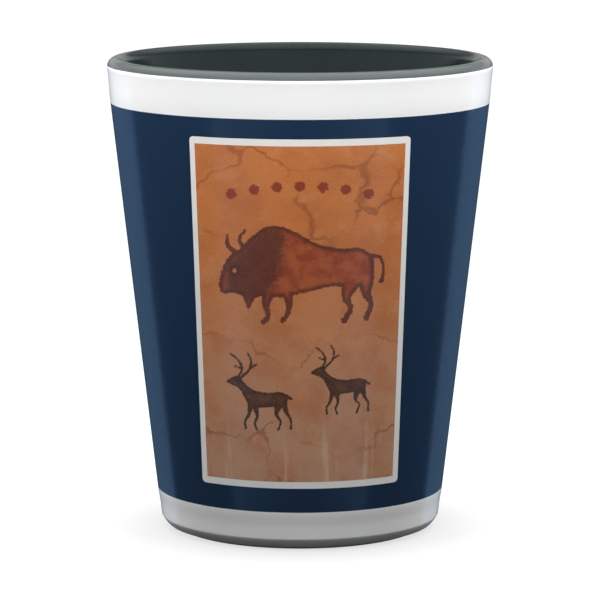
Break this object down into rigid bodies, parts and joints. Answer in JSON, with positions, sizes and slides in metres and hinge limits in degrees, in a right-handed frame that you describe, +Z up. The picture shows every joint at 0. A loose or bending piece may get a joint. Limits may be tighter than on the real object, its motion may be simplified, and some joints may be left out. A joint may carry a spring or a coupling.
{
  "type": "shot glass",
  "caption": "Tapered round ceramic shot glass with a dark glazed inside and lip, white glaze outside, and a dark printed wrap around a framed picture panel.",
  "frame": {"origin": "middle of the foot's resting plane, on the cup's axis", "axes": "+Z up the cup's axis to the mouth, -Y out of the middle of the framed picture, +Y out of the gap between the wrap's two ends"},
  "size_m": [0.0488, 0.0488, 0.06],
  "materials": {
    "bare_clay": "matte",
    "dark_glaze": "gloss",
    "white_glaze": "gloss",
    "unprinted_coat": "gloss",
    "ground_print": "gloss",
    "border_line": "gloss",
    "picture_colours": "gloss"
  },
  "bodies": {
    "root": {"ceramic_body": "bare_clay", "interior_glaze": "dark_glaze", "exterior_glaze": "white_glaze", "base_glaze": "white_glaze", "clear_coat": "unprinted_coat", "wrap_print": "ground_print", "picture_border": "border_line", "picture_print": "picture_colours"}
  },
  "joints": []
}
